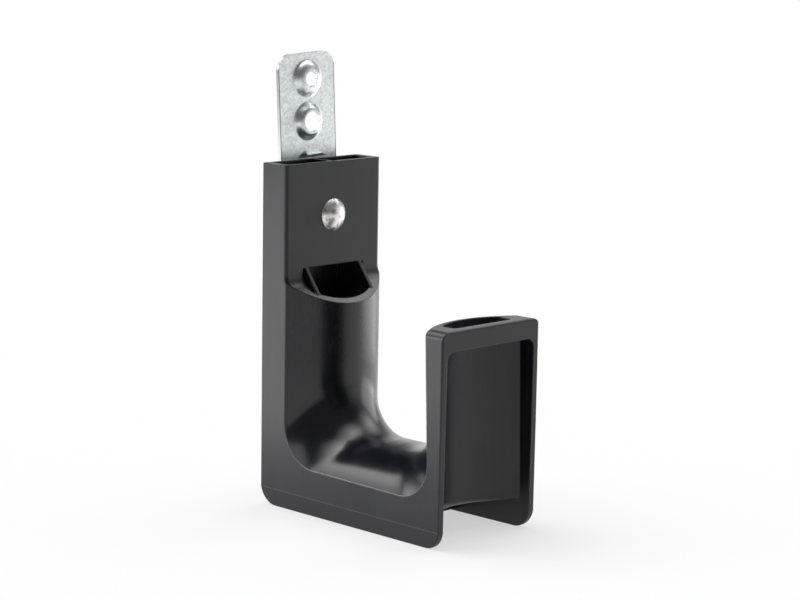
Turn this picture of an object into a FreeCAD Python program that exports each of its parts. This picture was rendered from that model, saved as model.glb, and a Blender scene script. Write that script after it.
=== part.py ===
import FreeCAD, Part
import math
import os

from FreeCAD import Vector

# All sizes are in millimetres.
# The hook is drawn with x across it, z up from the foot of its flanges and y = 0 on the back of
# the moulding, with the hook reaching towards -y.
# It is placed at the end, so that the origin is the larger screw hole, on the plane of the wall.

# Overall sizes of the moulded hook, whose sides flare out a little from the wall to its front
hook_width = 43.4
side_flare = 0.9
hook_height = 116.0
hook_depth = 84.4
foot_setback = 0.6
post_height = 70.2

# Side flanges
flange_wall = 2.3
flange_back_depth = 11.4
flange_foot_depth = 15.4
flange_front_depth = 6.1
flange_front_lean = 2.1
flange_lean_foot = 31.0
heel_radius = 6.2
toe_radius = 6.2
foot_band_height = 6.0
foot_band_inset = 0.9
flange_corner_radius = 0.7

# Saddle that carries the cables
saddle_back_radius = 27.5
saddle_bottom_radius = 28.7
saddle_front_radius = 31.0
saddle_edge_heel_radius = 14.0
saddle_edge_toe_radius = 12.5
saddle_crown_bend_radius = 18.0
saddle_wall_back = 2.3
saddle_wall_bottom = 2.2
saddle_wall_front = 2.4

# Box behind the rivet
box_front_wall = 1.6
box_rear_wall = 1.4
box_rib_wall = 1.5
box_front_foot = 81.1
box_rear_foot = 60.0
box_corner_radius = 1.2

# Ledge that joins the box to the top of the saddle, and the opening in it
ledge_top = 76.85
ledge_slope = 34.6
ledge_wall = 1.7
ledge_blend_radius = 5.0
opening_width = 27.8
gusset_spacing = 24.6
gusset_wall = 1.4
gusset_foot = 60.0
gusset_seat_drop = 0.2

# Front post
post_corner_radius = 3.0
post_back_radius = 2.0
post_front_radius = 0.8
post_cap_height = 4.0
post_bridge_wall = 2.4
post_bridge_height = 6.5
window_corner_radius = 3.2
tie_slot_width = 27.2
tie_slot_radius = 26.0
tie_slot_corner_radius = 1.8
tie_slot_back_wall = 2.6
tie_slot_front_wall = 3.5

# Webs under the saddle
web_wall = 1.8
web_position = 50.4
web_foot = 0.7
toe_web_foot = 8.3
toe_web_wall = 3.2
toe_web_radius = 2.6

# Rivet and the moulded boss around it
rivet_height = 98.0
rivet_shank_diameter = 6.2
rivet_head_diameter = 10.8
rivet_head_height = 2.5
rivet_tail_diameter = 9.0
rivet_tail_height = 1.6
rivet_tail_bore_diameter = 4.2
rivet_tail_bore_depth = 3.5
rivet_clearance = 0.1
rivet_boss_diameter = 12.0

# Steel bracket
bracket_width = 25.4
bracket_thickness = 1.2
bracket_above_rivet = 53.7
bracket_below_rivet = 13.5
bracket_top_radius = 5.5
bracket_bottom_radius = 2.5
bracket_turn = 3.0

# Raised round seats in the bracket
screw_hole_diameter = 6.9
screw_hole_above_rivet = 30.7
upper_hole_diameter = 5.0
upper_hole_above_rivet = 45.0
seat_base_diameter = 12.4
seat_top_diameter = 9.0
seat_height = 2.4
seat_foot_radius = 1.2
seat_ring = 0.1
seat_inner_radius = 0.3
rivet_seat_base_diameter = 13.6
rivet_seat_top_diameter = 11.4
rivet_seat_height = 2.0
rivet_seat_flat_diameter = 10.8
rivet_seat_clearance = 1.0

# Lip of the bracket, sheared along its lower edge and pressed forward over the rim of the box
lip_width = 6.9
lip_offset = 1.0
lip_foot_spread = 3.2
lip_crown_spread = -0.8
lip_reach = 2.2
lip_height = 2.1
lip_drop = 1.3
lip_above_rim = 0.8
lip_crease_radius = 0.4

# Small allowances for cutting tools and overlaps between parts of one moulding
over_cut = 2.0
root_overlap = 0.4
side_overrun = 0.05
channel_tool_drop = 15.0

half_width = hook_width / 2
front_half = half_width + side_flare
box_inner_half = half_width - flange_wall
front_inner_half = front_half - flange_wall
splay = side_flare / hook_depth
lean = math.tan(math.radians(flange_front_lean))
box_depth = flange_back_depth


def half_at(y):
    """Half the width of the hook at the distance y from the wall."""
    return half_width - splay * y


def block(x0, x1, y0, y1, z0, z1):
    return Part.makeBox(x1 - x0, y1 - y0, z1 - z0, Vector(x0, y0, z0))


def drop(x, radius):
    """How far a circular arc falls away from its crown at the distance x from it."""
    return radius - math.sqrt(radius * radius - x * x)


def face_from(points):
    return Part.Face(Part.makePolygon([Vector(*p) for p in points + points[:1]]))


def side_prism(points, x0, x1):
    """A prism across the hook, from its outline in y and z."""
    face = face_from([(x0, y, z) for y, z in points])
    return face.extrude(Vector(x1 - x0, 0, 0))


def line(a, b):
    return Part.LineSegment(a, b).toShape()


def rounded_face(corners):
    """A flat face from its corners, each a point and the radius that rounds it (0 for a sharp one)."""
    edges = []
    count = len(corners)
    cuts = []
    for i, (point, radius) in enumerate(corners):
        back = (corners[i - 1][0] - point).normalize()
        ahead = (corners[(i + 1) % count][0] - point).normalize()
        half_angle = back.getAngle(ahead) / 2
        reach = radius / math.tan(half_angle)
        start, end = point + back * reach, point + ahead * reach
        cuts.append((start, end))
        if radius > 0:
            away = (back + ahead).normalize()
            middle = point + away * (radius / math.sin(half_angle) - radius)
            edges.append(Part.Arc(start, middle, end).toShape())
    for i in range(count):
        start, end = cuts[i][1], cuts[(i + 1) % count][0]
        if start.distanceToPoint(end) > 1e-6:
            edges.append(line(start, end))
    return Part.Face(Part.Wire(Part.__sortEdges__(edges)))


def corner_tool(corner, u, v, radius, path):
    """What is outside a rounded edge: u and v point from the edge into the material, path along it."""
    margin = 1.0
    start, end = corner + u * radius, corner + v * radius
    middle = corner + (u + v) * (radius * (1 - math.sqrt(0.5)))
    points = [end, end - u * margin, corner - (u + v) * margin, start - v * margin, start]
    edges = [Part.Arc(start, middle, end).toShape()] + [line(a, b) for a, b in zip(points, points[1:])]
    return Part.Face(Part.Wire(Part.__sortEdges__(edges))).extrude(path)


def edges_where(shape, test):
    return [edge for edge in shape.Edges if test(edge)]


def near(a, b):
    return abs(a - b) < 1e-4


# The saddle surface

back_rise = drop(half_at(-flange_back_depth), saddle_back_radius)
bottom_rise = drop(half_at(-hook_depth / 2), saddle_bottom_radius)
front_rise = drop(front_half, saddle_front_radius)
crown_back = flange_back_depth + back_rise
crown_bottom = flange_foot_depth + bottom_rise
crown_front = hook_depth - flange_front_depth - front_rise


def front_line(x, offset):
    """Where the front of the saddle lies at the height 0, and its slope, in the plane at x."""
    slope = lean * drop(x, saddle_back_radius) / back_rise
    surface_y = -crown_front - offset - drop(x, saddle_front_radius - offset)
    return surface_y - slope * flange_lean_foot, slope


def saddle_line(x, offset_back, offset_bottom, offset_front, top):
    """Points down the back, round the heel, along the bottom, round the toe and up the front.

    Each line of the saddle lies in a plane of constant x. It falls back from the crown by an arc on
    all three sides, its bends open out from the edge to the crown, and its front leans by its share.
    """
    share = drop(x, saddle_back_radius) / back_rise
    foot_y, slope = front_line(x, offset_front)
    slant = math.atan(slope)
    heel = saddle_crown_bend_radius * (1 - share) + saddle_edge_heel_radius * share + offset_bottom
    toe = saddle_crown_bend_radius * (1 - share) + saddle_edge_toe_radius * share + offset_bottom
    back_y = drop(x, saddle_back_radius - offset_back) + offset_back - crown_back
    bottom_z = crown_bottom - offset_bottom - drop(x, saddle_bottom_radius - offset_bottom)
    toe_z = bottom_z + toe
    toe_y = foot_y + slope * toe_z + toe / math.cos(slant)
    points = []
    for i in range(12):
        points.append(Vector(x, back_y, top + (bottom_z + heel - top) * i / 12))
    for i in range(13):
        a = math.pi / 2 * i / 12
        y, z = back_y - heel + heel * math.cos(a), bottom_z + heel - heel * math.sin(a)
        points.append(Vector(x, y, z))
    for i in range(1, 5):
        y = back_y - heel + (toe_y - back_y + heel) * i / 5
        points.append(Vector(x, y, bottom_z))
    for i in range(13):
        a = (math.pi / 2 + slant) * i / 12
        points.append(Vector(x, toe_y - toe * math.sin(a), toe_z - toe * math.cos(a)))
    end = points[-1]
    for i in range(1, 13):
        z = end.z + (top - end.z) * i / 12
        points.append(Vector(x, foot_y + slope * z, z))
    return points


def spread(reach):
    """Places across the hook at even steps round the saddle's arc."""
    columns = 15
    turn = math.asin(reach / saddle_back_radius)
    return [saddle_back_radius * math.sin(turn * (2 * i / (columns - 1) - 1)) for i in range(columns)]


def surface_through(lines):
    """A smooth surface through lines of points that lie side by side across the hook."""
    surface = Part.BSplineSurface()
    surface.interpolate([list(row) for row in zip(*lines)])
    return surface.toShape()


def saddle_face(reach, offset_back, offset_bottom, offset_front, top):
    lines = [saddle_line(x, offset_back, offset_bottom, offset_front, top) for x in spread(reach)]
    return surface_through(lines)


def before_post_wall(offset):
    """All that lies in front of the post's inner wall, set forward by offset, down to below the foot."""
    top = post_height + over_cut
    grid = []
    for x in spread(front_half):
        foot_y, slope = front_line(x, offset)
        grid.append([Vector(x, foot_y + slope * z, z) for z in (-over_cut, top / 4, top / 2, top)])
    return surface_through(grid).extrude(Vector(0, -hook_depth / 2, 0))


def end_edges(face, reach, top):
    """The four edges of the saddle face: left, right, back top and front top."""
    left = [e for e in face.Edges if near(e.BoundBox.XMax, -reach)][0]
    right = [e for e in face.Edges if near(e.BoundBox.XMin, reach)][0]
    tops = [e for e in face.Edges if e.BoundBox.ZMin > top - 1e-3]
    tops.sort(key=lambda e: -e.CenterOfMass.y)
    return left, right, tops[0], tops[1]


def ends(edge):
    """The two ends of an edge, the one nearer the wall first."""
    a, b = edge.Vertexes[0].Point, edge.Vertexes[-1].Point
    return (a, b) if a.y > b.y else (b, a)


def solid_from(faces):
    shell = Part.makeShell(faces)
    shell.sewShape()
    solid = Part.makeSolid(Part.Shell(shell.Faces))
    if solid.Volume < 0:
        solid.reverse()
    return solid


def cable_space(top):
    """All that the cables can reach above the saddle, between two planes outside the hook."""
    reach = front_half + 0.5
    face = saddle_face(reach, 0, 0, 0, top)
    left, right, back, front = end_edges(face, reach, top)
    faces = [face]
    rims = []
    for side in (left, right):
        near_wall, far = ends(side)
        rim = line(near_wall, far)
        rims.append(rim)
        faces.append(Part.Face(Part.Wire(Part.__sortEdges__([side, rim]))))
    faces.append(Part.Face(Part.Wire(Part.__sortEdges__([rims[0], back, rims[1], front]))))
    return solid_from(faces)


def channel_tube(top):
    """The hollow behind and under the saddle and beyond its front, between two planes."""
    reach = front_inner_half + 0.2
    face = saddle_face(reach, saddle_wall_back, saddle_wall_bottom, saddle_wall_front, top)
    left, right, back, front = end_edges(face, reach, top)
    wall_y = over_cut
    foot_z = -over_cut
    front_y = -(hook_depth - post_bridge_wall)
    faces = [face]
    for side, x in ((left, -reach), (right, reach)):
        near_wall, far = ends(side)
        corners = [far, Vector(x, front_y, top), Vector(x, front_y, foot_z), Vector(x, wall_y, foot_z),
                   Vector(x, wall_y, top), near_wall]
        path = [line(a, b) for a, b in zip(corners, corners[1:])]
        faces.append(Part.Face(Part.Wire(Part.__sortEdges__([side] + path))))
    faces.append(face_from([(-reach, wall_y, top), (reach, wall_y, top), (reach, wall_y, foot_z),
                            (-reach, wall_y, foot_z)]))
    faces.append(face_from([(-reach, wall_y, foot_z), (reach, wall_y, foot_z), (reach, front_y, foot_z),
                            (-reach, front_y, foot_z)]))
    faces.append(face_from([(-reach, front_y, top), (reach, front_y, top), (reach, front_y, foot_z),
                            (-reach, front_y, foot_z)]))
    for arc, y in ((back, wall_y), (front, front_y)):
        arc_y = arc.Vertexes[0].Point.y
        corners = [Vector(-reach, arc_y, top), Vector(-reach, y, top), Vector(reach, y, top),
                   Vector(reach, arc_y, top)]
        path = [line(a, b) for a, b in zip(corners, corners[1:])]
        faces.append(Part.Face(Part.Wire(Part.__sortEdges__([arc] + path))))
    return solid_from(faces)


def channel(top):
    """The hollow between the flanges: behind and under the saddle, under the toe web and in the post."""
    front_y, middle_y = post_bridge_wall - hook_depth, -hook_depth / 2
    post_inside = block(-front_half, front_half, front_y, middle_y, -over_cut, post_height - post_cap_height)
    post_inside = before_post_wall(saddle_wall_front).common(post_inside)
    under_saddle = channel_tube(top).cut(before_post_wall(saddle_wall_front - toe_web_wall))
    under_web = block(-front_half, front_half, front_y, middle_y, -over_cut, toe_web_foot)
    tool = under_saddle.fuse(post_inside).fuse(under_web)
    return tool.common(planform(flange_wall, 0, -2 * over_cut, top + over_cut))


# The moulded hook

def planform(inset, corner_radius, low, high):
    """The hook seen from above, from behind the wall to its front, moved in by inset at the sides."""
    start_y, end_y = 3 * over_cut, -hook_depth
    start, end = half_at(start_y) - inset, half_at(end_y) - inset
    corners = [((-start, start_y), 0), ((start, start_y), 0), ((end, end_y), corner_radius),
               ((-end, end_y), corner_radius)]
    face = rounded_face([(Vector(x, y, low), radius) for (x, y), radius in corners])
    return face.extrude(Vector(0, 0, high - low))


def ledge_z(y, drop_below=0.0):
    slope = math.tan(math.radians(ledge_slope))
    return ledge_top - drop_below / math.cos(math.radians(ledge_slope)) + slope * (y + box_depth)


def outer_block():
    """The hook's outline from the side, filled across its width.

    Between the ledge and the post the outline dips, inside the space that the cables have.
    """
    far_y = -(crown_back + 3 * over_cut)
    dip_y, dip_z = -hook_depth / 2, (crown_bottom + post_height) / 2
    foot_y = foot_setback - hook_depth
    outline = [((0, hook_height), 0), ((0, 0), heel_radius), ((foot_y, 0), toe_radius),
               ((-hook_depth, post_height), post_front_radius), ((dip_y, post_height), 0),
               ((dip_y, dip_z), 0), ((far_y, dip_z), 0), ((far_y, ledge_z(far_y)), 0),
               ((-box_depth, ledge_top), ledge_blend_radius), ((-box_depth, hook_height), 0)]
    side = front_half + over_cut
    face = rounded_face([(Vector(-side, y, z), radius) for (y, z), radius in outline])
    solid = face.extrude(Vector(2 * side, 0, 0))
    solid = solid.common(planform(0, flange_corner_radius, -over_cut, hook_height + over_cut))

    def box_corner(edge):
        box = edge.BoundBox
        upright = near(box.YMin, -box_depth) and near(box.YMax, -box_depth) and near(box.XLength, 0)
        return upright and near(box.ZMax, hook_height)

    return solid.makeFillet(box_corner_radius, edges_where(solid, box_corner))


def side_run(share):
    """The run along the right side face towards the front, for a share of the hook's depth."""
    return Vector(side_flare, -hook_depth, 0) * share


def both_sides(tool):
    return [tool, tool.mirror(Vector(0, 0, 0), Vector(1, 0, 0))]


def post_corners():
    """Tools that round the upper corners of the post, from the middle of the hook forward."""
    middle = -hook_depth / 2
    corner = Vector(half_at(middle), middle, post_height)
    inward, down = Vector(-1, 0, 0), Vector(0, 0, -1)
    return both_sides(corner_tool(corner, inward, down, post_corner_radius, side_run(0.5 + side_overrun)))


def foot_bands():
    """Wedges that slope the outside of both flanges in towards the foot."""
    start_y = side_overrun * hook_depth
    half = half_at(start_y)
    outline = [(half, foot_band_height), (half + 1, foot_band_height), (half + 1, -1),
               (half - foot_band_inset, -1), (half - foot_band_inset, 0)]
    face = face_from([(x, start_y, z) for x, z in outline])
    return both_sides(face.extrude(side_run(1 + 2 * side_overrun)))


def hollow():
    """The channel and the inside of the box as one cutting tool."""
    tool = channel(hook_height - channel_tool_drop)
    top = hook_height + over_cut
    far_y = -(crown_back + 3 * over_cut)
    inner_y = -(box_depth - box_front_wall)
    outline = [(inner_y, ledge_z(inner_y, ledge_wall)), (inner_y, top), (far_y, top),
               (far_y, ledge_z(far_y, ledge_wall))]
    shield = side_prism(outline, -half_width, half_width)
    half = opening_width / 2
    opening = block(-half, half, far_y, inner_y + over_cut, gusset_foot, box_front_foot)
    tool = tool.cut(shield.cut(opening))
    rear = block(-half_width, half_width, -box_rear_wall, 2 * over_cut, box_rear_foot, top)
    tool = tool.cut(rear)
    inside = block(-box_inner_half, box_inner_half, inner_y, -box_rear_wall, box_front_foot, top)
    return tool.fuse(inside)


def front_window():
    """The opening in the front of the post, with rounded upper corners."""
    top = post_height - post_bridge_height
    half = front_inner_half
    tool = block(-half, half, -hook_depth - over_cut, -(hook_depth - post_bridge_wall), -over_cut, top)

    def upper_corner(edge):
        box = edge.BoundBox
        return near(box.ZMin, top) and near(box.ZMax, top) and near(box.XLength, 0)

    return tool.makeFillet(window_corner_radius, edges_where(tool, upper_corner))


def tie_slot():
    """The slot for a cable tie in the top of the post: straight in front, curved behind."""
    half = tie_slot_width / 2
    front_y = -(hook_depth - tie_slot_front_wall)
    crown_y = -(crown_front + tie_slot_back_wall)
    side_y = crown_y - drop(half, tie_slot_radius)
    foot = post_height - post_cap_height - over_cut
    corners = [Vector(half, side_y, foot), Vector(half, front_y, foot), Vector(-half, front_y, foot),
               Vector(-half, side_y, foot)]
    arc = Part.Arc(corners[0], Vector(0, crown_y, foot), corners[3]).toShape()
    path = [line(a, b) for a, b in zip(corners, corners[1:])]
    face = Part.Face(Part.Wire(Part.__sortEdges__([arc] + path)))
    tool = face.extrude(Vector(0, 0, post_cap_height + 2 * over_cut))

    def upright(edge):
        return edge.BoundBox.ZLength > 1

    return tool.makeFillet(tie_slot_corner_radius, edges_where(tool, upright))


def hook_ribs():
    """Ribs and webs inside the moulding."""
    rear_y = -box_rear_wall / 2
    front_y = -(box_depth - box_front_wall / 2)
    ribs = []
    half = box_rib_wall / 2
    ribs.append(block(-half, half, front_y, rear_y, box_front_foot, hook_height))
    for side in (-1, 1):
        centre = side * gusset_spacing / 2
        seat_y = -(crown_back - saddle_wall_back / 2) + drop(gusset_spacing / 2, saddle_back_radius)
        seat_z = ledge_z(seat_y) - gusset_seat_drop
        root_z = box_front_foot + root_overlap
        outline = [(rear_y, gusset_foot), (rear_y, root_z), (front_y, root_z),
                   (-box_depth, box_front_foot), (seat_y, seat_z), (seat_y, gusset_foot)]
        ribs.append(side_prism(outline, centre - gusset_wall / 2, centre + gusset_wall / 2))
    half = half_at(-web_position) - flange_wall + root_overlap
    web_back = -web_position + web_wall / 2
    ribs.append(block(-half, half, web_back - web_wall, web_back, web_foot, crown_bottom))
    return ribs


def cylinder(radius, front_y, back_y, z):
    """A round bar that runs from the front towards the wall, at the height z."""
    return Part.makeCylinder(radius, back_y - front_y, Vector(0, front_y, z), Vector(0, 1, 0))


def rivet_boss():
    """The tube moulded inside the box, from its front wall to the bracket."""
    front_y = -(box_depth - box_front_wall / 2)
    return cylinder(rivet_boss_diameter / 2, front_y, -rivet_seat_height, rivet_height)


def rivet_hole():
    """The hole for the rivet, and the pocket that the bracket's seat for it stands in."""
    hole = cylinder(rivet_shank_diameter / 2 + rivet_clearance, -box_depth - over_cut, over_cut, rivet_height)
    pocket = cylinder(rivet_seat_base_diameter / 2 + rivet_seat_clearance, -rivet_seat_height, over_cut,
                      rivet_height)
    return hole, pocket


def hook_body():
    space = cable_space(hook_height + over_cut)
    body = outer_block().cut(space)

    def post_back_edge(edge):
        box = edge.BoundBox
        level = near(box.ZMax, post_height) and near(box.ZMin, post_height)
        return level and box.XLength > half_width and box.YLength > 1

    body = body.makeFillet(post_back_radius, edges_where(body, post_back_edge))
    for tool in post_corners() + foot_bands():
        body = body.cut(tool)
    body = body.cut(hollow())

    def web_foot_edge(edge):
        box = edge.BoundBox
        level = near(box.ZMin, toe_web_foot) and near(box.ZMax, toe_web_foot)
        return level and box.XLength > half_width and near(box.YMax, -crown_front - saddle_wall_front)

    body = body.makeFillet(toe_web_radius, edges_where(body, web_foot_edge))
    body = body.cut(front_window())
    body = body.cut(tie_slot())
    for rib in hook_ribs():
        body = body.fuse(rib.cut(space))
    hole, pocket = rivet_hole()
    body = body.cut(pocket).fuse(rivet_boss()).cut(hole)
    return body.removeSplitter()


# The steel bracket

def ring_from(corners):
    """A solid turned about the line through the middle of a seat, from corners out from it and back."""
    face = rounded_face([(Vector(out, back, 0), radius) for out, back, radius in corners])
    solid = face.revolve(Vector(0, 0, 0), Vector(0, 1, 0), 360)
    if solid.Volume < 0:
        solid.reverse()
    return solid


def raised_seat(base_diameter, top_diameter, height, flat_diameter):
    """A round seat pressed forward: its outside, and the hollow that it leaves behind.

    Its flank starts with a soft foot and rounds over into the flat at its top.
    """
    base, top = base_diameter / 2, top_diameter / 2
    slope = (base - top) / height
    tangent = math.tan(math.atan(1 / slope) / 2)
    crown = (top - flat_diameter / 2) / tangent
    far = base + seat_foot_radius
    middle = bracket_thickness / 2
    outside = ring_from([(0, middle, 0), (far, middle, 0), (far, 0, 0), (base, 0, seat_foot_radius),
                         (top, -height, crown), (0, -height, 0)])
    thinner = bracket_thickness * (math.sqrt(1 + slope * slope) - slope)
    behind = bracket_thickness + over_cut
    inner_crown = max(crown - bracket_thickness, seat_inner_radius)
    inside = ring_from([(0, behind, 0), (far, behind, 0), (far, bracket_thickness, 0),
                        (base - thinner, bracket_thickness, seat_foot_radius + bracket_thickness),
                        (top - thinner, bracket_thickness - height, inner_crown),
                        (0, bracket_thickness - height, 0)])
    return outside, inside


def plane_through(a, b, c):
    """A plane as its unit normal, pointing away from the wall, and its distance from the origin."""
    normal = (b - a).cross(c - a).normalize()
    if normal.y > 0:
        normal = normal * -1
    return normal, normal.dot(a)


def meeting(first, second, third):
    """The point where three planes meet."""
    (a, p), (b, q), (c, r) = first, second, third
    return (b.cross(c) * p + c.cross(a) * q + a.cross(b) * r) * (1 / a.dot(b.cross(c)))


def lip_block(inset, back_y):
    """The block under the outside of the lip, with its front, top and sides set in by inset."""
    low = hook_height - rivet_height + lip_above_rim
    high = low + lip_height
    half = lip_width / 2
    edge_z = high - lip_drop
    crown = Vector(half, -lip_reach, edge_z)
    foot = Vector(half + lip_foot_spread, 0, low)
    shoulder = Vector(half + lip_crown_spread, 0, high)
    top = plane_through(crown, shoulder, Vector(0, 0, high))
    right = plane_through(crown, foot, shoulder)
    left = (Vector(-right[0].x, right[0].y, right[0].z), right[1])
    front = (Vector(0, -1, 0), lip_reach)
    top, right, left, front = ((normal, distance - inset) for normal, distance in (top, right, left, front))
    bottom = (Vector(0, 0, -1), -low)
    back = (Vector(0, 1, 0), back_y)
    rings = []
    for depth in (front, back):
        pairs = ((bottom, left), (bottom, right), (top, right), (top, left))
        rings.append([meeting(depth, a, b) for a, b in pairs])
    near_ring, far_ring = rings
    faces = [face_from([tuple(p) for p in ring]) for ring in rings]
    for i in range(4):
        j = (i + 1) % 4
        faces.append(face_from([tuple(p) for p in (near_ring[i], near_ring[j], far_ring[j], far_ring[i])]))
    return solid_from(faces)


def bracket_lip():
    """The outside of the lip, and the hollow behind it."""
    low = hook_height - rivet_height + lip_above_rim
    outside = lip_block(0, bracket_thickness / 2)

    def crease(edge):
        box = edge.BoundBox
        return box.ZMax > low + 0.1 and box.YMin < -0.9 * lip_reach

    outside = outside.makeFillet(lip_crease_radius, edges_where(outside, crease))
    return outside, lip_block(bracket_thickness, bracket_thickness + over_cut)


def wall_bracket():
    """The sheet with its seats, in its own upright place with the rivet at z = 0."""
    half = bracket_width / 2
    plate = block(-half, half, 0, bracket_thickness, -bracket_below_rivet, bracket_above_rivet)

    def corner_at(z):
        def test(edge):
            box = edge.BoundBox
            return box.YLength > 0.5 * bracket_thickness and near(box.ZMin, z) and near(box.ZMax, z)
        return test

    plate = plate.makeFillet(bracket_top_radius, edges_where(plate, corner_at(bracket_above_rivet)))
    plate = plate.makeFillet(bracket_bottom_radius, edges_where(plate, corner_at(-bracket_below_rivet)))
    screw_seat = (seat_base_diameter, seat_top_diameter, seat_height)
    rivet_seat = (rivet_seat_base_diameter, rivet_seat_top_diameter, rivet_seat_height)
    rivet_hole_diameter = rivet_shank_diameter + 2 * rivet_clearance
    seats = [(screw_hole_above_rivet, screw_seat, screw_hole_diameter, screw_hole_diameter + 2 * seat_ring),
             (upper_hole_above_rivet, screw_seat, upper_hole_diameter, upper_hole_diameter + 2 * seat_ring),
             (0, rivet_seat, rivet_hole_diameter, rivet_seat_flat_diameter)]
    for z, seat, hole, flat in seats:
        outside, inside = raised_seat(*seat, flat)
        place = Vector(0, 0, z)
        outside.translate(place)
        inside.translate(place)
        plate = plate.fuse(outside).cut(inside)
        height = seat[2]
        plate = plate.cut(cylinder(hole / 2, -height - over_cut, bracket_thickness + over_cut, z))
    lip, behind_lip = bracket_lip()
    for tool in (lip, behind_lip):
        tool.translate(Vector(lip_offset, 0, 0))
    plate = plate.fuse(lip).cut(behind_lip)
    return plate.removeSplitter()


# The rivet

def rivet():
    """A domed head on the box, a shank, and a flared tail in the bracket's seat."""
    head_radius = rivet_head_diameter / 2
    dome = (head_radius ** 2 + rivet_head_height ** 2) / (2 * rivet_head_height)
    head_y = -box_depth
    ball = Part.makeSphere(dome, Vector(0, head_y - rivet_head_height + dome, rivet_height))
    keep = block(-head_radius, head_radius, head_y - rivet_head_height - over_cut, head_y,
                 rivet_height - head_radius, rivet_height + head_radius)
    head = ball.common(keep)
    tail_y = -rivet_seat_height + bracket_thickness
    end_y = tail_y + rivet_tail_height
    shank = cylinder(rivet_shank_diameter / 2, head_y - root_overlap, end_y, rivet_height)
    flare = cylinder(rivet_tail_diameter / 2, tail_y, end_y, rivet_height)
    bore_y = end_y - rivet_tail_bore_depth
    bore = cylinder(rivet_tail_bore_diameter / 2, bore_y, end_y + over_cut, rivet_height)
    return head.fuse(shank).fuse(flare).cut(bore).removeSplitter()


def build():
    """Every node in place, with the larger screw hole on the wall at the origin."""
    bracket = wall_bracket()
    bracket.rotate(Vector(0, 0, 0), Vector(0, 1, 0), -bracket_turn)
    bracket.translate(Vector(0, 0, rivet_height))
    turn = math.radians(bracket_turn)
    hole = Vector(-screw_hole_above_rivet * math.sin(turn), bracket_thickness,
                  rivet_height + screw_hole_above_rivet * math.cos(turn))
    nodes = {"hook_body": hook_body(), "wall_bracket": bracket, "rivet": rivet()}
    for shape in nodes.values():
        shape.translate(hole * -1)
    return nodes


os.makedirs("parts", exist_ok=True)
for name, shape in build().items():
    solids = shape.Solids
    print(name, "solids", len(solids), "valid", shape.isValid(), "volume", round(shape.Volume, 1))
    solid = solids[0] if len(solids) == 1 else shape
    solid.exportStep(os.path.join("parts", name + ".step"))
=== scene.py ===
import math

import bpy
from mathutils import Matrix, Vector


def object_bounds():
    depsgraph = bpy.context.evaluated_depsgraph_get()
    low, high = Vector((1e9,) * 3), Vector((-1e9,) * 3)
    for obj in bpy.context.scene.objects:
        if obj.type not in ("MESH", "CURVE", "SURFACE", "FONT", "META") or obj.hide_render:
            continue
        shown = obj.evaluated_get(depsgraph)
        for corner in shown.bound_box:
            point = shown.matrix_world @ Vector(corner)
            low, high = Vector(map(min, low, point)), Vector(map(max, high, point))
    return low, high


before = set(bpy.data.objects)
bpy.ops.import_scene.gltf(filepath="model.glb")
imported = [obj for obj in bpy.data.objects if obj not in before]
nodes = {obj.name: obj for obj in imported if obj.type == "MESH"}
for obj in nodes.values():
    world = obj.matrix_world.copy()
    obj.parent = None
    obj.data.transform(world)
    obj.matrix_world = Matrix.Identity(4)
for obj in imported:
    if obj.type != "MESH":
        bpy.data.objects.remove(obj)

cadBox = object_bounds()
scene = bpy.context.scene
scene.view_settings.view_transform = "Standard"
mm = 0.001  # all lengths below are in metres


# Helpers that put nodes into a material or the world

def addNode(tree, kind, **values):
    # A value goes to the socket of its name, or else to the node's own setting
    node = tree.nodes.new(kind)
    for key, value in values.items():
        if key in node.inputs:
            node.inputs[key].default_value = value
        else:
            setattr(node, key, value)
    return node


def newMaterial(name):
    material = bpy.data.materials.new(name)
    material.use_nodes = True
    tree = material.node_tree
    tree.nodes.clear()
    return material, tree, addNode(tree, "ShaderNodeOutputMaterial")


def mathNode(tree, operation, *values, clamp=False):
    node = addNode(tree, "ShaderNodeMath", operation=operation, use_clamp=clamp)
    for slot, value in enumerate(values):
        if isinstance(value, (int, float)):
            node.inputs[slot].default_value = value
        else:
            tree.links.new(value, node.inputs[slot])
    return node.outputs[0]


def multiply(tree, first, *others):
    for other in others:
        first = mathNode(tree, "MULTIPLY", first, other)
    return first


def dot(tree, vector, other):
    node = addNode(tree, "ShaderNodeVectorMath", operation="DOT_PRODUCT")
    tree.links.new(vector, node.inputs[0])
    if isinstance(other, tuple):
        node.inputs[1].default_value = other
    else:
        tree.links.new(other, node.inputs[1])
    return node.outputs["Value"]


def separate(tree, vector):
    node = addNode(tree, "ShaderNodeSeparateXYZ")
    tree.links.new(vector, node.inputs[0])
    return tuple(node.outputs)


def rangeNode(tree, value, low, high, toLow=0.0, toHigh=1.0):
    node = addNode(tree, "ShaderNodeMapRange", interpolation_type="SMOOTHSTEP")
    for key, number in (("From Min", low), ("From Max", high), ("To Min", toLow), ("To Max", toHigh)):
        node.inputs[key].default_value = number
    tree.links.new(value, node.inputs["Value"])
    return node.outputs[0]


def band(tree, value, low, high, soft):
    # One between low and high, fading to nothing over the soft width at each end
    rise = rangeNode(tree, value, low - soft, low)
    fall = rangeNode(tree, value, high, high + soft, 1.0, 0.0)
    return multiply(tree, rise, fall)


def objectPlace(tree, stretch=(1, 1, 1)):
    coordinates = addNode(tree, "ShaderNodeTexCoord")
    mapping = addNode(tree, "ShaderNodeMapping", Scale=stretch)
    tree.links.new(coordinates.outputs["Object"], mapping.inputs["Vector"])
    return mapping.outputs[0]


def noise(tree, place, scale, detail=2.0, roughness=0.5):
    node = addNode(tree, "ShaderNodeTexNoise", Scale=scale, Detail=detail, Roughness=roughness)
    tree.links.new(place, node.inputs["Vector"])
    return node.outputs["Fac"]


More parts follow.
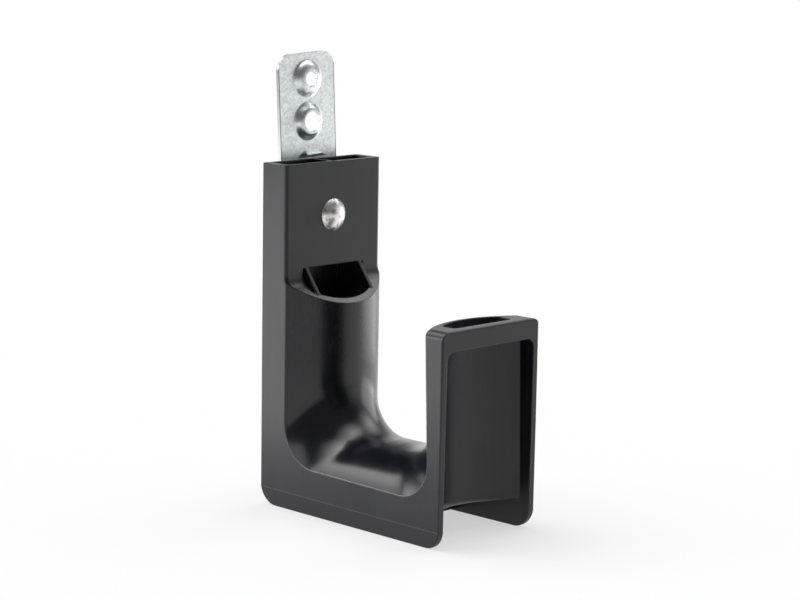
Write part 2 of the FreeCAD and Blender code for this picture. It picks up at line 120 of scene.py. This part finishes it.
def ramp(tree, value, places, colours):
    node = addNode(tree, "ShaderNodeValToRGB")
    for element, place, colour in zip(node.color_ramp.elements, places, colours):
        element.position = place
        element.color = (*colour, 1)
    tree.links.new(value, node.inputs[0])
    return node.outputs[0]


def blend(tree, share, first, second):
    # The first number where the share is nothing, the second where it is one
    node = addNode(tree, "ShaderNodeMix")
    for value, slot in ((share, 0), (first, 2), (second, 3)):
        tree.links.new(value, node.inputs[slot])
    return node.outputs[0]


def tint(tree, share, colour, shade):
    # The colour where the share is nothing, the plain shade where it is one
    node = addNode(tree, "ShaderNodeMix", data_type="RGBA")
    tree.links.new(share, node.inputs[0])
    tree.links.new(colour, node.inputs[6])
    node.inputs[7].default_value = (*shade, 1)
    return node.outputs[2]


def bump(tree, height, distance, normal=None):
    node = addNode(tree, "ShaderNodeBump", Distance=distance, Strength=1.0)
    tree.links.new(height, node.inputs["Height"])
    if normal is not None:
        tree.links.new(normal, node.inputs["Normal"])
    return node.outputs[0]


def mixShaders(tree, share, first, second, output):
    mix = addNode(tree, "ShaderNodeMixShader")
    for slot, value in enumerate((share, first.outputs[0], second.outputs[0])):
        tree.links.new(value, mix.inputs[slot])
    tree.links.new(mix.outputs[0], output.inputs[0])


# Camera, at the place that the photograph was taken from

view = {
    "place": (-0.56432, -0.60007, 0.07786),  # from the larger screw hole
    "azimuth": -45.525,  # degrees
    "elevation": 9.555,
    "roll": 0.955,
    "lens": 110.19,  # millimetres
    "sensor": 36,
    "nearest": 0.01,
}


def buildCamera():
    a, e, r = (math.radians(view[key]) for key in ("azimuth", "elevation", "roll"))
    back = Vector((math.sin(a) * math.cos(e), -math.cos(a) * math.cos(e), math.sin(e)))
    right = Vector((0, 0, 1)).cross(back).normalized()
    turned = math.cos(r) * right + math.sin(r) * back.cross(right)
    upright = back.cross(turned)
    camera = bpy.data.objects.new("camera", bpy.data.cameras.new("camera"))
    camera.data.lens = view["lens"]
    camera.data.sensor_width = view["sensor"]
    camera.data.clip_start = view["nearest"]
    rotation = Matrix((turned, upright, back)).transposed().to_4x4()
    camera.matrix_world = Matrix.Translation(view["place"]) @ rotation
    scene.collection.objects.link(camera)
    scene.camera = camera


buildCamera()
print("camera placed")


# The hook: moulded nylon, satin on its walls and glossier in the bend of the saddle

nylon = {
    "colour": (0.0040, 0.0045, 0.0075),
    "paler": (0.0085, 0.0090, 0.0125),
    "cloud": 45.0,  # clouds to a metre
    "cloudShare": 0.45,
    "streak": (2200, 1600, 45),  # streaks to a metre across, out and up the hook
    "streakShare": 0.55,
    "mottle": (0.35, 0.65),  # values of clouds and streaks together that give each range's ends
    "roughness": (0.28, 0.40),
    "saddleRoughness": (0.24, 0.30),
    "bendRoughness": (0.15, 0.22),
    "bendHeight": (-95.0 * mm, -75.0 * mm),  # glossy below the first, satin above the second
    "grain": 0.35 * mm,
    "grainDepth": 0.010 * mm,
    "streakDepth": 0.002 * mm,
    "edgeRadius": 0.6 * mm,
    "middle": 1.607 * mm,  # the hook's middle plane, from the screw hole
    "cableMiddle": (-45.0 * mm, -70.0 * mm),  # y and z in the middle of the space for the cables
    "saddleReach": (-79.0 * mm, -13.5 * mm),  # front and back of the saddle
    "saddleHeight": (-117.0 * mm, -54.0 * mm),
    "saddleSoft": 0.2 * mm,
    "saddleSides": (0.95, 0.985),  # faces turned more to the side than this are the flanges
    "flangeFacing": (0.9, 0.97),
    "crease": -122.66 * mm,  # height of the fold above the foot of the flanges
    "creaseHalf": 0.12 * mm,
    "creaseSoft": 0.15 * mm,
    # painted highlight along the crease, paler than the nylon
    "paintedCreaseHighlight": (0.05, 0.052, 0.055),
    "footReach": 8.0 * mm,
    "footSoft": 0.1 * mm,
    "footDull": 0.10,  # added to the roughness below the crease
    "paintedEdgeHighlight": (0.20, 0.20, 0.19),  # painted highlight, a thin paler line where the saddle meets the flanges
    "highlightCosine": (0.950, 0.985),  # how far the rounded edge is turned away from its faces
    "highlightAside": (20.5 * mm, 21.2 * mm),  # from the middle plane
}


def saddleSpace(tree, y, z):
    # One where the saddle lies, seen from the side
    inReach = band(tree, y, *nylon["saddleReach"], nylon["saddleSoft"])
    inHeight = band(tree, z, *nylon["saddleHeight"], nylon["saddleSoft"])
    return multiply(tree, inReach, inHeight)


def saddleMask(tree, y, z, normal):
    # One on the faces that look into the space for the cables, nothing elsewhere
    aside, out, up = separate(tree, normal)
    middleY, middleZ = nylon["cableMiddle"]
    inY = multiply(tree, mathNode(tree, "SUBTRACT", middleY, y), out)
    inZ = multiply(tree, mathNode(tree, "SUBTRACT", middleZ, z), up)
    towards = mathNode(tree, "GREATER_THAN", mathNode(tree, "ADD", inY, inZ), 0.0)
    flat = mathNode(tree, "ABSOLUTE", aside)
    facing = multiply(tree, towards, rangeNode(tree, flat, *nylon["saddleSides"], 1.0, 0.0))
    return multiply(tree, facing, saddleSpace(tree, y, z))


def nylonMaterial():
    material, tree, output = newMaterial("mouldedNylon")
    shader = addNode(tree, "ShaderNodeBsdfPrincipled", IOR=1.5)
    place = objectPlace(tree)
    x, y, z = separate(tree, place)
    geometry = addNode(tree, "ShaderNodeNewGeometry")
    trueNormal = geometry.outputs["True Normal"]
    fromMiddle = mathNode(tree, "SUBTRACT", x, nylon["middle"])
    outward = multiply(tree, mathNode(tree, "SIGN", fromMiddle), separate(tree, trueNormal)[0])
    flange = rangeNode(tree, outward, *nylon["flangeFacing"])

    # Clouds and fine streaks vary the finish and the colour
    cloud = noise(tree, place, nylon["cloud"], 4.0, 0.6)
    streak = noise(tree, objectPlace(tree, nylon["streak"]), 1.0, 3.0, 0.6)
    cloudPart = multiply(tree, cloud, nylon["cloudShare"])
    streakPart = multiply(tree, streak, nylon["streakShare"])
    mottle = mathNode(tree, "ADD", cloudPart, streakPart)
    plain, satin, glossy = (rangeNode(tree, mottle, *nylon["mottle"], *nylon[key])
                            for key in ("roughness", "saddleRoughness", "bendRoughness"))
    smooth = blend(tree, rangeNode(tree, z, *nylon["bendHeight"]), glossy, satin)
    saddle = saddleMask(tree, y, z, geometry.outputs["Normal"])
    finish = blend(tree, saddle, plain, smooth)

    # The foot below the crease is duller, and the crease itself gets a painted highlight, a thin
    # paler line
    crease, half = nylon["crease"], nylon["creaseHalf"]
    foot = band(tree, z, crease - nylon["footReach"], crease, nylon["footSoft"])
    foot = multiply(tree, flange, foot)
    creaseHighlight = band(tree, z, crease - half, crease + half, nylon["creaseSoft"])
    creaseHighlight = multiply(tree, flange, creaseHighlight)
    duller = multiply(tree, mathNode(tree, "SUBTRACT", foot, creaseHighlight), nylon["footDull"])
    tree.links.new(mathNode(tree, "ADD", finish, duller), shader.inputs["Roughness"])

    # Edges shade as if rounded; the saddle's outer edges and the crease get painted highlights, thin
    # paler lines
    rounded = addNode(tree, "ShaderNodeBevel", Radius=nylon["edgeRadius"], samples=6).outputs[0]
    edgeHighlight = rangeNode(tree, dot(tree, rounded, trueNormal), *nylon["highlightCosine"], 1.0, 0.0)
    outer = rangeNode(tree, mathNode(tree, "ABSOLUTE", fromMiddle), *nylon["highlightAside"])
    edgeHighlight = multiply(tree, edgeHighlight, outer, saddleSpace(tree, y, z))
    colour = ramp(tree, mottle, nylon["mottle"], (nylon["colour"], nylon["paler"]))
    colour = tint(tree, creaseHighlight, colour, nylon["paintedCreaseHighlight"])
    colour = tint(tree, edgeHighlight, colour, nylon["paintedEdgeHighlight"])
    tree.links.new(colour, shader.inputs["Base Color"])

    grain = noise(tree, place, 1 / nylon["grain"])
    normal = bump(tree, grain, nylon["grainDepth"], rounded)
    normal = bump(tree, streak, nylon["streakDepth"], normal)
    tree.links.new(normal, shader.inputs["Normal"])
    tree.links.new(shader.outputs[0], output.inputs[0])
    return material


# The strip: galvanised steel with a fine spangle, duller sheared sides, and painted shade on its long
# edges and its lip

zinc = {
    "dark": (0.54, 0.59, 0.58),
    "bright": (0.79, 0.84, 0.83),
    "spangle": 0.7 * mm,
    "spangleShare": 0.4,
    "speckle": 0.3 * mm,
    "speckleShare": 0.6,
    "speckleDepth": 0.006 * mm,
    "shades": (0.25, 0.7),  # values of spangle and speckle together that give dark and bright
    "roughness": 0.36,
    "edgeRadius": 0.15 * mm,
    "turn": 3.0,  # degrees that the strip is turned on its rivet
    "pivot": (1.607 * mm, 0, -30.66 * mm),  # the places below are measured from here
    "sheared": (0.45, 0.47, 0.47),  # colour of the outline's sides
    "rim": (8.8 * mm, 53.0 * mm),  # beyond these, aside and up, only the outline has sides
    "rimFacing": (0.3, 0.5),
    "cut": (0.10, 0.105, 0.105),  # painted shade on the long edges and on the lip's sheared faces
    "edgeStart": 12.3 * mm,  # from the middle of the strip
    "edgeFull": 12.5 * mm,
    "edgeFacing": (-0.8, -0.6),
    "lipFront": (-2.9 * mm, 19.65 * mm),  # sheared faces lie forward of the first, below the second
    "lipSide": (-1.35 * mm, 20.0 * mm),
    "lipSoft": (-0.1 * mm, 0.2 * mm),
    "lipLean": (-0.5, -0.3),
}


def zincMaterial():
    material, tree, output = newMaterial("galvanisedSteel")
    shader = addNode(tree, "ShaderNodeBsdfPrincipled", Metallic=1.0, Roughness=zinc["roughness"])
    place = objectPlace(tree)
    spangle = addNode(tree, "ShaderNodeTexVoronoi", Scale=1 / zinc["spangle"])
    tree.links.new(place, spangle.inputs["Vector"])
    shade = addNode(tree, "ShaderNodeSeparateColor")
    tree.links.new(spangle.outputs["Color"], shade.inputs[0])
    speckle = noise(tree, place, 1 / zinc["speckle"], 2.0, 0.6)
    spanglePart = multiply(tree, shade.outputs[0], zinc["spangleShare"])
    specklePart = multiply(tree, speckle, zinc["speckleShare"])
    shadeValue = mathNode(tree, "ADD", spanglePart, specklePart)
    colour = ramp(tree, shadeValue, zinc["shades"], (zinc["dark"], zinc["bright"]))

    # Places across and along the turned strip, from its rivet
    fromPivot = addNode(tree, "ShaderNodeVectorMath", operation="SUBTRACT")
    tree.links.new(place, fromPivot.inputs[0])
    fromPivot.inputs[1].default_value = zinc["pivot"]
    a = math.radians(zinc["turn"])
    across = dot(tree, fromPivot.outputs[0], (math.cos(a), 0, math.sin(a)))
    along = dot(tree, fromPivot.outputs[0], (-math.sin(a), 0, math.cos(a)))
    aside = mathNode(tree, "ABSOLUTE", across)
    out = separate(tree, place)[1]
    facingX, facingY, _ = separate(tree, addNode(tree, "ShaderNodeNewGeometry").outputs["Normal"])

    # Painted shade on the long edges and on the lip's sheared faces
    dark = rangeNode(tree, aside, zinc["edgeStart"], zinc["edgeFull"])
    dark = multiply(tree, dark, rangeNode(tree, facingY, *zinc["edgeFacing"], 1.0, 0.0))
    leaning = rangeNode(tree, facingX, *zinc["lipLean"], 1.0, 0.0)
    softLow, softHigh = zinc["lipSoft"]
    for (front, top), share in ((zinc["lipFront"], 1.0), (zinc["lipSide"], leaning)):
        forward = mathNode(tree, "LESS_THAN", out, front)
        below = rangeNode(tree, along, top + softLow, top + softHigh, 1.0, 0.0)
        dark = mathNode(tree, "MAXIMUM", dark, multiply(tree, forward, below, share))

    # Bare sides of the outline
    rimAside, rimAlong = zinc["rim"]
    rim = mathNode(tree, "MAXIMUM", mathNode(tree, "GREATER_THAN", aside, rimAside),
                   mathNode(tree, "GREATER_THAN", along, rimAlong))
    sideways = rangeNode(tree, mathNode(tree, "ABSOLUTE", facingY), *zinc["rimFacing"], 1.0, 0.0)
    colour = tint(tree, multiply(tree, rim, sideways), colour, zinc["sheared"])
    colour = tint(tree, dark, colour, zinc["cut"])
    tree.links.new(colour, shader.inputs["Base Color"])

    rounded = addNode(tree, "ShaderNodeBevel", Radius=zinc["edgeRadius"], samples=4).outputs[0]
    normal = bump(tree, speckle, zinc["speckleDepth"], rounded)
    tree.links.new(normal, shader.inputs["Normal"])
    tree.links.new(shader.outputs[0], output.inputs[0])
    return material


# The rivet: slightly tarnished steel

rivetMetal = {
    "dark": (0.40, 0.38, 0.34),
    "bright": (0.86, 0.85, 0.82),
    "roughness": 0.32,
    "blotch": 2.2 * mm,
    "blotches": (0.38, 0.52),  # values of the noise that give dark and bright
    "blotchDepth": 0.05 * mm,
}


def rivetMaterial():
    material, tree, output = newMaterial("tarnishedRivet")
    roughness = rivetMetal["roughness"]
    shader = addNode(tree, "ShaderNodeBsdfPrincipled", Metallic=1.0, Roughness=roughness)
    blotch = noise(tree, objectPlace(tree), 1 / rivetMetal["blotch"], 4.0, 0.6)
    colours = (rivetMetal["dark"], rivetMetal["bright"])
    colour = ramp(tree, blotch, rivetMetal["blotches"], colours)
    tree.links.new(colour, shader.inputs["Base Color"])
    normal = bump(tree, blotch, rivetMetal["blotchDepth"])
    tree.links.new(normal, shader.inputs["Normal"])
    tree.links.new(shader.outputs[0], output.inputs[0])
    return material


# The three solids keep the shapes that the CAD gave them

def dress(piece, material):
    for place in piece.material_slots:
        place.material = material


dress(nodes["hook_body"], nylonMaterial())
dress(nodes["wall_bracket"], zincMaterial())
dress(nodes["rivet"], rivetMaterial())
print("materials made")


# Floor, world and lamps

studio = {
    "floorColour": (0.8, 0.8, 0.8),
    "floorSize": 2.8,
    "nearGlow": 0.55,  # share of plain white that the floor shows beside the object
    "nearFade": (0.12, 0.3),  # distances over which that share grows to one
    "mirrorFade": (0.25, 1.2),  # distances over which the floor's white fades in reflections
    "mirrorFar": 0.2,  # what is left of it beyond them
    "fill": 0.15,
}

# Soft windows in the sky: middle, reach to each side and strength, in degrees from +X towards +Y
softboxes = [
    {"azimuth": 0, "elevation": 45, "width": 40, "height": 20, "strength": 4.0},
    {"azimuth": 102, "elevation": 44, "width": 40, "height": 18, "strength": 4.4},
    {"azimuth": 120, "elevation": 65, "width": 70, "height": 20, "strength": 7.0},
    {"azimuth": 0, "elevation": 68, "width": 60, "height": 20, "strength": 1.2},
    {"azimuth": 0, "elevation": 90, "width": 360, "height": 25, "strength": 6.0},
    {"azimuth": 45, "elevation": 8, "width": 60, "height": 25, "strength": 1.0},
    {"azimuth": 318, "elevation": 8, "width": 40, "height": 30, "strength": 1.05},
    {"azimuth": 132, "elevation": 17, "width": 30, "height": 14, "strength": 7.0},
]

# Boxes close to the hook, which show only as soft reflections in it
lamps = [
    {"name": "leftBox", "place": (-0.105, 0.042, -0.080), "size": (0.18, 0.12), "power": 0.108},
    {"name": "rightStrip", "place": (0.24, -0.06, -0.05), "size": (0.18, 0.15), "power": 0.15},
]


def buildFloor():
    low = cadBox[0].z
    half = studio["floorSize"] / 2
    corners = [(-half, -half, low), (half, -half, low), (half, half, low), (-half, half, low)]
    mesh = bpy.data.meshes.new("floor")
    mesh.from_pydata(corners, [], [(0, 1, 2, 3)])
    floor = bpy.data.objects.new("floor", mesh)
    scene.collection.objects.link(floor)
    material, tree, output = newMaterial("paleFloor")
    diffuse = addNode(tree, "ShaderNodeBsdfDiffuse", Color=(*studio["floorColour"], 1))
    glow = addNode(tree, "ShaderNodeEmission", Strength=1.0)
    length = addNode(tree, "ShaderNodeVectorMath", operation="LENGTH")
    coordinates = addNode(tree, "ShaderNodeTexCoord")
    tree.links.new(coordinates.outputs["Object"], length.inputs[0])
    distance = length.outputs["Value"]
    path = addNode(tree, "ShaderNodeLightPath").outputs
    mirrored = rangeNode(tree, distance, *studio["mirrorFade"], 1.0, studio["mirrorFar"])
    mirrored = multiply(tree, path["Is Glossy Ray"], mirrored)
    seen = mathNode(tree, "MAXIMUM", path["Is Camera Ray"], mirrored)
    seen = mathNode(tree, "MAXIMUM", seen, path["Is Transmission Ray"])
    far = rangeNode(tree, distance, *studio["nearFade"], studio["nearGlow"], 1.0)
    mixShaders(tree, multiply(tree, seen, far), diffuse, glow, output)
    mesh.materials.append(material)


def softWindow(tree, azimuth, elevation, box):
    # How bright the sky is for one softbox: full at its middle, nothing beyond its reach
    turn = mathNode(tree, "SUBTRACT", azimuth, math.radians(box["azimuth"]))
    turn = mathNode(tree, "WRAP", turn, math.pi, -math.pi)
    rise = mathNode(tree, "SUBTRACT", elevation, math.radians(box["elevation"]))
    shares = []
    for offset, reach in ((turn, box["width"]), (rise, box["height"])):
        offset = mathNode(tree, "ABSOLUTE", offset)
        distance = mathNode(tree, "DIVIDE", offset, math.radians(reach))
        shares.append(mathNode(tree, "SUBTRACT", 1.0, distance, clamp=True))
    return multiply(tree, *shares, box["strength"])


def buildWorld():
    world = bpy.data.worlds.new("studio")
    world.use_nodes = True
    scene.world = world
    tree = world.node_tree
    tree.nodes.clear()
    output = addNode(tree, "ShaderNodeOutputWorld")
    x, y, z = separate(tree, addNode(tree, "ShaderNodeTexCoord").outputs["Generated"])
    azimuth = mathNode(tree, "ARCTAN2", y, x)
    elevation = mathNode(tree, "ARCSINE", z)
    total = studio["fill"]
    for box in softboxes:
        total = mathNode(tree, "ADD", total, softWindow(tree, azimuth, elevation, box))
    light = addNode(tree, "ShaderNodeBackground", Color=(1, 1, 1, 1))
    tree.links.new(total, light.inputs["Strength"])
    white = addNode(tree, "ShaderNodeBackground", Color=(1, 1, 1, 1), Strength=1.0)
    path = addNode(tree, "ShaderNodeLightPath").outputs
    seen = mathNode(tree, "MAXIMUM", path["Is Camera Ray"], path["Is Transmission Ray"])
    mixShaders(tree, seen, light, white, output)


def buildLamps():
    aim = (cadBox[0] + cadBox[1]) / 2
    for lamp in lamps:
        data = bpy.data.lights.new(lamp["name"], "AREA")
        data.shape = "RECTANGLE"
        data.size, data.size_y = lamp["size"]
        data.energy = lamp["power"]
        box = bpy.data.objects.new(lamp["name"], data)
        direction = aim - Vector(lamp["place"])
        rotation = direction.to_track_quat("-Z", "Y").to_matrix().to_4x4()
        box.matrix_world = Matrix.Translation(lamp["place"]) @ rotation
        box.visible_camera = box.visible_diffuse = False
        scene.collection.objects.link(box)


buildFloor()
buildWorld()
buildLamps()
print("studio lit")
